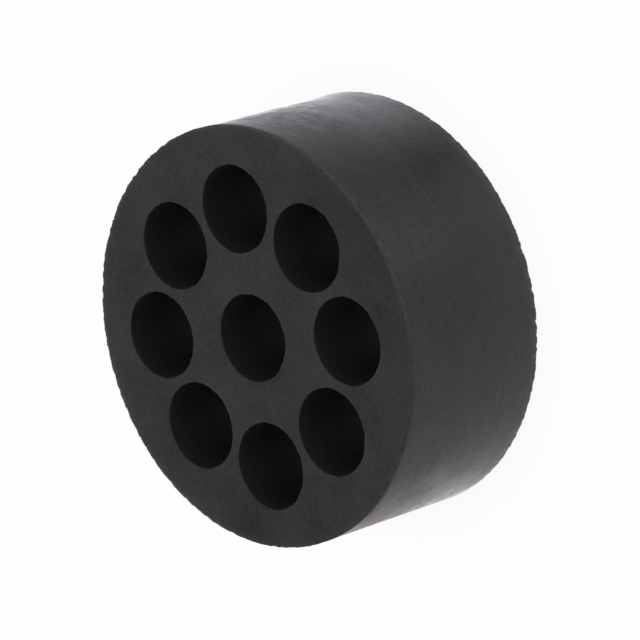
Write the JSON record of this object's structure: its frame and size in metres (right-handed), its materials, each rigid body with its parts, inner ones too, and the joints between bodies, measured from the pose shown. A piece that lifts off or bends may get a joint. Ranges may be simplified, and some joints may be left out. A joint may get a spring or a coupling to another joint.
{
  "type": "cable gland sealing insert",
  "caption": "Solid round rubber sealing insert for a cable gland, with equal straight cable holes through it on a ring and in the centre.",
  "frame": {"origin": "on the axis, in the plane of the lower end, on which the insert stands", "axes": "+Z along the axis and the cable holes, towards the upper end; +X passes midway between two holes of the ring"},
  "size_m": [0.0338, 0.0338, 0.0145],
  "materials": {
    "rubber": "matt black moulded rubber, smooth end faces and a finely streaked outer wall"
  },
  "bodies": {
    "root": {"sealing_insert": "rubber"}
  },
  "joints": []
}
